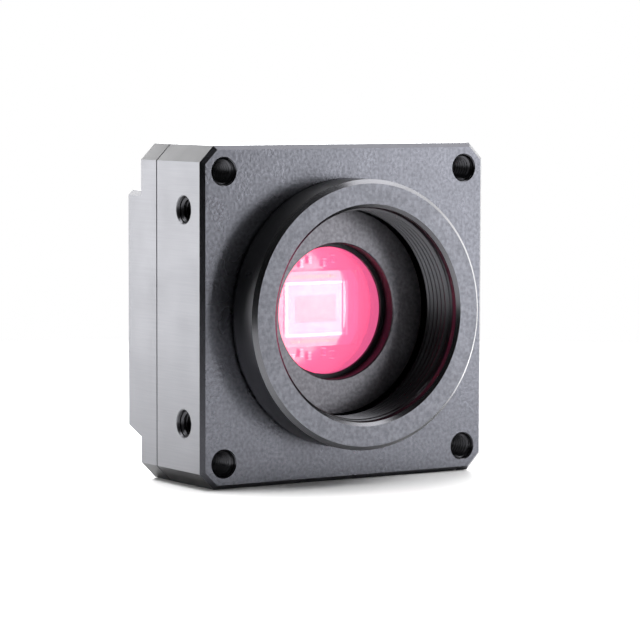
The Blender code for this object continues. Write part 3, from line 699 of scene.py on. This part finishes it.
def make_rear_cover(looks):
    """Rear cover: plate and block from one piece, with the screw seats and the USB port."""
    block = BLOCK_HALF_HEIGHT
    steps = [(COVER_FRONT, -HALF), (PLATE_BACK, -HALF), (PLATE_BACK, -block), (COVER_BACK, -block),
             (COVER_BACK, block), (PLATE_BACK, block), (PLATE_BACK, HALF), (COVER_FRONT, HALF)]
    work = bmesh.new()
    face = work.faces.new([work.verts.new((-HALF, y, z)) for y, z in steps])
    grown = bmesh.ops.extrude_face_region(work, geom=[face])["geom"]
    far = [item for item in grown if isinstance(item, bmesh.types.BMVert)]
    bmesh.ops.translate(work, verts=far, vec=(2 * HALF, 0, 0))
    small = MICRO / 10
    corners = [e for e in work.edges if all(abs(abs(v.co.z) - HALF) < small for v in e.verts)
               and abs(e.verts[0].co.y - e.verts[1].co.y) > small]
    bmesh.ops.bevel(work, geom=corners, offset=CORNER_CHAMFER, segments=1, affect="EDGES")
    long_edges = [e for e in work.edges
                  if all(abs(abs(v.co.z) - block) < small and abs(abs(v.co.x) - HALF) < small
                         for v in e.verts)]
    bmesh.ops.bevel(work, geom=long_edges, offset=BLOCK_LONG_CHAMFER, segments=1, affect="EDGES")
    rim = [e for e in work.edges if all(abs(v.co.y - COVER_BACK) < small for v in e.verts)]
    bmesh.ops.bevel(work, geom=rim, offset=BLOCK_CHAMFER, segments=1, affect="EDGES")
    seam = [e for e in work.edges if all(abs(v.co.y - COVER_FRONT) < small for v in e.verts)]
    bmesh.ops.bevel(work, geom=seam, offset=MICRO, segments=1, affect="EDGES")
    bmesh.ops.recalc_face_normals(work, faces=work.faces)
    inner = COVER_BACK - BLOCK_WALL
    cutters = [prism(rectangle(2 * CAVITY_HALF, 2 * ARM_HALF, rounding=CAVITY_ROUNDING),
                     COVER_FRONT - OVER, inner),
               gasket_groove(COVER_FRONT - OVER, COVER_FRONT + GROOVE_IN_COVER)]
    wide = SCREW_HEAD_R + FIT
    head_back = PLATE_BACK - SCREW_SUNK
    cone = head_back - (SCREW_HEAD_R - HOLE_R + FIT)
    seat = [(0, COVER_FRONT - OVER), (HOLE_R, COVER_FRONT - OVER), (HOLE_R, cone),
            (wide, head_back), (wide, PLATE_BACK - MICRO), (wide + MICRO, PLATE_BACK),
            (wide + MICRO, COVER_BACK + OVER), (0, COVER_BACK + OVER)]
    cutters.append(at_corners(seat))
    width = USB_HIGH.x - USB_LOW.x + 2 * FIT
    height = USB_HIGH.z - USB_LOW.z + 2 * FIT
    middle = (USB_LOW.z + USB_HIGH.z) / 2 - AXIS_Z
    lead = USB_LEAD
    port = rectangle(width, height, (0, middle), height / 2 * USB_ROUNDING)
    mouth = rectangle(width + 2 * lead, height + 2 * lead, (0, middle), (height / 2 + lead) * USB_ROUNDING)
    cutters.append(lofted([(port, inner - OVER), (port, COVER_BACK - lead), (mouth, COVER_BACK),
                           (mouth, COVER_BACK + OVER)]))
    cover = place(carve(work, cutters), "rear_cover_metal")
    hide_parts("rear_cover")
    materials = [looks["side"], looks["edge"], looks["bore"]]
    return dress(cover, "camera_body", materials, cover_rule)


def make_cover_screws(looks):
    """Countersunk cover screws with hex sockets and rounded heads."""
    shank = HOLE_R - FIT
    back = PLATE_BACK - SCREW_SUNK
    cone = back - (SCREW_HEAD_R - shank)
    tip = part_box("cover_screw_1")[0].y - FACE_Y
    profile = [(0, tip), (shank - FIT, tip), (shank, tip + FIT), (shank, cone),
               (SCREW_HEAD_R - MICRO, back - MICRO), (SCREW_HEAD_R - 2 * MICRO, back), (0, back)]
    for number in range(1, 5):
        low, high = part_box(f"cover_screw_{number}")
        x = (low.x + high.x) / 2
        z = (low.z + high.z) / 2 - AXIS_Z
        work = moved(turned(profile, HOLE_STEPS), (x, 0, z))
        key_r = HEX_FLATS / math.sqrt(3)
        key = prism(circle(key_r, (x, z), steps=6), back - HEX_DEPTH, back + OVER)
        rim = moved(turned([(0, back - MICRO), (key_r * HEX_RIM[0], back - MICRO * 2),
                            (key_r * HEX_RIM[1], back + MICRO), (0, back + MICRO)], HOLE_STEPS), (x, 0, z))
        screw = place(carve(work, [key, rim]), f"countersunk_screw_{number}")
        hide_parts(f"cover_screw_{number}")
        dress(screw, "camera_body", [looks["screw"]])


def make_filter(looks):
    """Filter glass with ground edges."""
    front = FILTER_LOW.y - FACE_Y
    back = FILTER_HIGH.y - FACE_Y
    edge = FILTER_EDGE
    profile = [(0, front), (FILTER_R - edge, front), (FILTER_R, front + edge), (FILTER_R, back - edge),
               (FILTER_R - edge, back), (0, back)]
    window = place(turned(profile, FILTER_STEPS), "filter_glass_disc")
    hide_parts("window_filter")
    dress(window, "camera_body", [looks["filter"]])


def make_sensor(looks):
    """Bright seal frame, die face and pixel array on the package, and bond pads on its rim."""
    front = PACKAGE_LOW.y - FACE_Y
    lift = PLATE_LIFT
    low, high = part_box("sensor_cover_glass")
    middle = (RIM_OFFSET, 0)
    outer = rectangle(high.x - low.x, high.z - low.z, middle)
    inner = rectangle(high.x - low.x - 2 * GLASS_RIM, high.z - low.z - 2 * GLASS_RIM, middle)
    rim = carve(prism(outer, front - lift, front + lift / 2), [prism(inner, front - 2 * lift, front + lift)])
    dress(place(rim, "bright_seal_rim"), "camera_body", [looks["rim"]])
    face = prism(inner, front - lift / 2, front + lift / 2)
    dress(place(face, "sensor_die_face"), "camera_body", [looks["silicon"]])
    array = prism(rectangle(*ACTIVE_SIZE, (ARRAY_OFFSET, 0)), front - lift, front)
    dress(place(array, "pixel_array"), "camera_body", [looks["array"]])
    pads = []
    for side in SIGNS:
        for step in range(-BONDS_PER_SIDE, BONDS_PER_SIDE + 1):
            pads.append(box_work(BOND_PAD, (step * BOND_PITCH, front, side * BOND_ROW), FINE_EDGE))
    bonds = place(join(pads), "package_bond_pads")
    dress(bonds, "camera_body", [looks["gold"]])


def make_board_details(looks):
    """Chip parts and traces round the sensor on its board."""
    front = BOARD_LOW.y - FACE_Y
    package = (PACKAGE_HIGH.z - PACKAGE_LOW.z) / 2
    bodies = []
    ends = []
    for side in SIGNS:
        for column, x in enumerate(CHIP_PLACES):
            z = side * (package + CHIP_GAP + CHIP_STAGGER * (column % 2))
            bodies.append(box_work(CHIP, (x, front - CHIP[1] / 2, z), CHIP_EDGE))
            for end in SIGNS:
                centre = (x, front - CHIP_END[1] / 2, z + end * CHIP_END_PLACE)
                ends.append(box_work(CHIP_END, centre, CHIP_EDGE))
    chips = place(join(bodies), "chip_capacitors")
    dress(chips, "camera_body", [looks["ceramic"]])
    caps = place(join(ends), "chip_capacitor_ends")
    dress(caps, "camera_body", [looks["tin"]])
    strips = []
    for side in SIGNS:
        for lane in range(TRACE_LANES):
            x = TRACE_START + lane * TRACE_STEP
            z = side * (package + TRACE_NEAR)
            turn = side * (package + TRACE_FAR - lane * TRACE_STEP)
            upright = (TRACE_WIDTH, TRACE_HEIGHT, abs(turn - z))
            strips.append(box_work(upright, (x, front, (turn + z) / 2), FINE_EDGE))
            run = TRACE_RUN - lane * TRACE_STEP
            middle = (x + run / 2 - TRACE_WIDTH / 2, front, turn)
            strips.append(box_work((run, TRACE_HEIGHT, TRACE_WIDTH), middle, FINE_EDGE))
    traces = place(join(strips), "board_traces")
    dress(traces, "camera_body", [looks["trace"]])


def make_usb(looks):
    """USB-C shell with rolled edges, and the tongue with its contacts."""
    width = USB_HIGH.x - USB_LOW.x
    height = USB_HIGH.z - USB_LOW.z
    middle = (USB_LOW.z + USB_HIGH.z) / 2 - AXIS_Z
    front = USB_LOW.y - FACE_Y
    back = USB_HIGH.y - FACE_Y
    wall = USB_WALL
    work = prism(rectangle(width, height, (0, middle), height / 2 * USB_ROUNDING), front, back,
                 edge_back=MICRO)
    inside = rectangle(width - 2 * wall, height - 2 * wall, (0, middle), (height / 2 - wall) * USB_ROUNDING)
    well = prism(inside, front + 2 * wall, back + OVER)
    shell = place(carve(work, [well]), "usb_port_shell")
    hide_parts("usb_shell")
    dress(shell, "camera_body", [looks["plated"]])
    low = TONGUE_LOW - FACE_CENTRE
    high = TONGUE_HIGH - FACE_CENTRE
    tongue = place(box_work(high - low, (low + high) / 2, TONGUE_EDGE), "usb_port_tongue")
    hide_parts("usb_tongue")
    dress(tongue, "camera_body", [looks["plastic"]])
    contacts = []
    for z in (low.z, high.z):
        for step in range(CONTACTS):
            x = (step - (CONTACTS - 1) / 2) * CONTACT_PITCH
            contacts.append(box_work(CONTACT, (x, high.y - CONTACT_SETBACK, z), FINE_EDGE))
    gold = place(join(contacts), "usb_port_contacts")
    dress(gold, "camera_body", [looks["gold"]])


def make_looks():
    """Every material of the camera."""
    return {
        "face": blasted_metal("blasted_face", (0.096, 0.098, 0.112), 0.28, grain=0.0004, height=0.000015),
        "side": milled_metal("milled_sides", (0.115, 0.116, 0.125), 0.36),
        "edge": turned_metal("cut_edges", (0.052, 0.052, 0.059), 0.26),
        "bore": turned_metal("black_bore", (0.03, 0.03, 0.033), 0.4),
        "baffle": blasted_metal("blasted_baffle", (0.105, 0.103, 0.114), 0.35, grain=0.0004, height=0.00002),
        "flange": blasted_metal("blasted_flange", (0.102, 0.104, 0.118), 0.33, grain=0.0004,
                                height=0.000012),
        "wall": turned_metal("turned_wall", (0.10, 0.10, 0.107), 0.3),
        "ring_edge": turned_metal("ring_chamfer", (0.10, 0.10, 0.108), 0.24),
        "lens_thread": turned_metal("lens_thread_metal", (0.06, 0.06, 0.065), 0.3),
        # The hole threads are black anodised metal, darkened further than the housing as painted shade so
        # the holes read near black inside.
        "thread": turned_metal("hole_thread_painted_shade", (0.055, 0.055, 0.06), 0.3),
        "screw": moulded("blackened_steel", (0.09, 0.09, 0.09), 0.32, metallic=1.0),
        # The filter's emission is painted light: a pink glow that makes the window bright even in shade.
        "filter": glass_with_painted_glow("pink_filter_painted_glow", (0.9, 0.035, 0.08), alpha=0.27, roughness=0.2, metallic=0.6,
                               painted_glow=(1.4, 0.24, 0.58)),
        "cover_glass": clear_glass("sensor_glass", (0.99, 0.98, 0.99), 0.02),
        "array": moulded("pixel_colour_filters", (0.50, 0.44, 0.36), 0.1, metallic=0.9),
        "rim": moulded("glass_seal_rim", (0.95, 0.92, 0.82), 0.1, metallic=0.9),
        "silicon": moulded("polished_silicon", (0.62, 0.56, 0.50), 0.1, metallic=0.9),
        "ceramic": moulded("pale_ceramic", (0.44, 0.40, 0.36), 0.12, height=0.0000005, metallic=0.9),
        "tin": moulded("tinned_ends", (0.8, 0.8, 0.8), 0.3, metallic=1.0),
        "gold": moulded("gold_contacts", (0.9, 0.66, 0.3), 0.25, metallic=1.0),
        "laminate": moulded("solder_mask", (0.42, 0.37, 0.33), 0.14, height=0.000001, metallic=0.7),
        "trace": moulded("masked_traces", (0.9, 0.85, 0.78), 0.14, metallic=0.8),
        "plated": moulded("plated_steel", (0.72, 0.72, 0.73), 0.25, metallic=1.0),
        "plastic": moulded("black_moulding", (0.02, 0.02, 0.022), 0.45),
        "rubber": moulded("seal_rubber_skin", (0.018, 0.018, 0.018), 0.75),
        "brass": moulded("turned_brass", (0.72, 0.55, 0.26), 0.28, metallic=1.0),
        "pad": moulded("silicone_pad", (0.45, 0.55, 0.65), 0.8),
    }


def dress_cad_nodes(looks):
    """Give every carried-over CAD node its material."""
    by_slot = {"seal_rubber": "rubber", "black_metal": "bore", "sensor_ceramic": "ceramic",
               "sensor_silicon": "silicon", "clear_glass": "cover_glass", "board_laminate": "laminate",
               "brass": "brass", "bright_steel": "plated", "screw_steel": "screw",
               "black_plastic": "plastic", "thermal_pad": "pad", "filter_glass": "filter",
               "anodised_aluminium": "side", "anodised_ring": "wall"}
    for part in frame["record"]["subparts"]:
        node = frame["nodes"][part["node"]]
        node.data.materials.clear()
        node.data.materials.append(looks[by_slot[part["material_slot"]]])


# ---------------------------------------------------------------- studio
CAMERA_AZIMUTH = -32.93
CAMERA_ELEVATION = 4.47
CAMERA_ROLL = 0.145
CAMERA_DISTANCE = 0.368
CAMERA_AIM = FACE_CENTRE + Vector((-0.00268, 0.00163, -0.00088))
CAMERA_LENS = 174.1
FILM_WIDTH = 36


def make_camera():
    """Camera at the working view."""
    azimuth = math.radians(CAMERA_AZIMUTH)
    elevation = math.radians(CAMERA_ELEVATION)
    back = Vector((math.sin(azimuth) * math.cos(elevation), -math.cos(azimuth) * math.cos(elevation),
                   math.sin(elevation)))
    data = bpy.data.cameras.new("camera")
    data.lens = CAMERA_LENS
    data.sensor_width = FILM_WIDTH
    data.clip_start = 0.01
    view = bpy.data.objects.new("camera", data)
    view.location = CAMERA_AIM + back * CAMERA_DISTANCE
    view.rotation_mode = "QUATERNION"
    turn = Quaternion((0, 0, 1), math.radians(CAMERA_ROLL))
    view.rotation_quaternion = (-back).to_track_quat("-Z", "Y") @ turn
    bpy.context.scene.collection.objects.link(view)
    bpy.context.scene.camera = view


# name, centre, (width, height), brightness as a mirror shows it.  The brightnesses started from a
# least-squares fit of single-light renders and were then retuned.
PANELS = [
    ("back_left_wall", (-0.65, 1.0, 0.1), (0.9, 1.1), 5.2),
    ("back_right_wall", (0.5, 1.0, 0.45), (1.3, 0.6), 8.0),
    ("front_right_box", (0.256, -0.228, 0.0), (0.24, 0.22), 5.0),
    ("front_box", (0.0, -0.6, 0.12), (0.5, 0.4), 0.8),
    ("high_right_box", (0.47, -0.1, 0.56), (0.5, 0.5), 5.5),
    ("overhead_box", (-0.1, 0.3, 0.9), (0.9, 0.7), 8.0),
    ("right_wall", (1.2, 0.35, 0.25), (1.0, 1.1), 3.0),
    ("left_wall", (-1.1, 0.45, 0.2), (0.8, 0.9), 0.6),
]
ROOM_BRIGHTNESS = 0.03
PANEL_AIM = Vector((0, 0, 0.02))
FLOOR_RADIUS = 0.2
FLOOR_DROP = 0.00005            # keeps the floor just clear of the camera's base
FLOOR_FADE = (0.5, 0.98)        # where the floor starts and ends to fade, of its radius


def make_panel(name, at, size, brightness):
    """Soft box that faces the camera body."""
    data = bpy.data.lights.new(name, "AREA")
    data.shape = "RECTANGLE"
    data.size, data.size_y = size
    data.energy = brightness * math.pi * size[0] * size[1]
    panel = bpy.data.objects.new(name, data)
    panel.location = at
    aim = PANEL_AIM - Vector(at)
    panel.rotation_mode = "QUATERNION"
    panel.rotation_quaternion = aim.to_track_quat("-Z", "Y")
    panel.visible_camera = False
    bpy.context.scene.collection.objects.link(panel)


def make_floor():
    """Pale floor that fades into the white surroundings."""
    work = bmesh.new()
    bmesh.ops.create_circle(work, cap_ends=True, segments=96, radius=FLOOR_RADIUS)
    mesh = bpy.data.meshes.new("floor")
    work.to_mesh(mesh)
    work.free()
    floor = bpy.data.objects.new("floor", mesh)
    floor.location = (0, 0, -FLOOR_DROP)
    bpy.context.scene.collection.objects.link(floor)
    paint = Recipe("white_floor", (0.92, 0.92, 0.92), roughness=0.45)
    paint.vary_colour(paint.noise(size=0.05), amount=0.005)
    length = paint.nodes.new("ShaderNodeVectorMath")
    length.operation = "LENGTH"
    paint.links.new(paint.point, length.inputs[0])
    start, end = (share * FLOOR_RADIUS for share in FLOOR_FADE)
    fade = paint.spread(length.outputs["Value"], low=1, high=0, start=start, end=end)
    paint.links.new(fade, paint.shader.inputs["Alpha"])
    mesh.materials.append(paint.material)


def make_studio():
    """White surroundings, pale floor and soft boxes."""
    world = bpy.data.worlds.new("white_room")
    bpy.context.scene.world = world
    world.use_nodes = True
    nodes = world.node_tree.nodes
    links = world.node_tree.links
    backdrop = nodes["Background"]
    backdrop.inputs["Color"].default_value = (1, 1, 1, 1)
    room = nodes.new("ShaderNodeBackground")
    room.inputs["Color"].default_value = (1, 1, 1, 1)
    room.inputs["Strength"].default_value = ROOM_BRIGHTNESS
    path = nodes.new("ShaderNodeLightPath")
    choose = nodes.new("ShaderNodeMixShader")
    links.new(path.outputs["Is Camera Ray"], choose.inputs[0])
    links.new(room.outputs[0], choose.inputs[1])
    links.new(backdrop.outputs[0], choose.inputs[2])
    links.new(choose.outputs[0], nodes["World Output"].inputs["Surface"])
    for panel in PANELS:
        make_panel(*panel)
    make_floor()
    bpy.context.scene.view_settings.view_transform = "Standard"


def main():
    """Dress the frame, add the detailed pieces and set up the studio."""
    make_camera()
    make_studio()
    looks = make_looks()
    dress_cad_nodes(looks)
    make_front_shell(looks)
    make_hole_threads(looks)
    make_mount_ring(looks)
    make_rear_cover(looks)
    make_cover_screws(looks)
    make_filter(looks)
    make_sensor(looks)
    make_board_details(looks)
    make_usb(looks)


main()
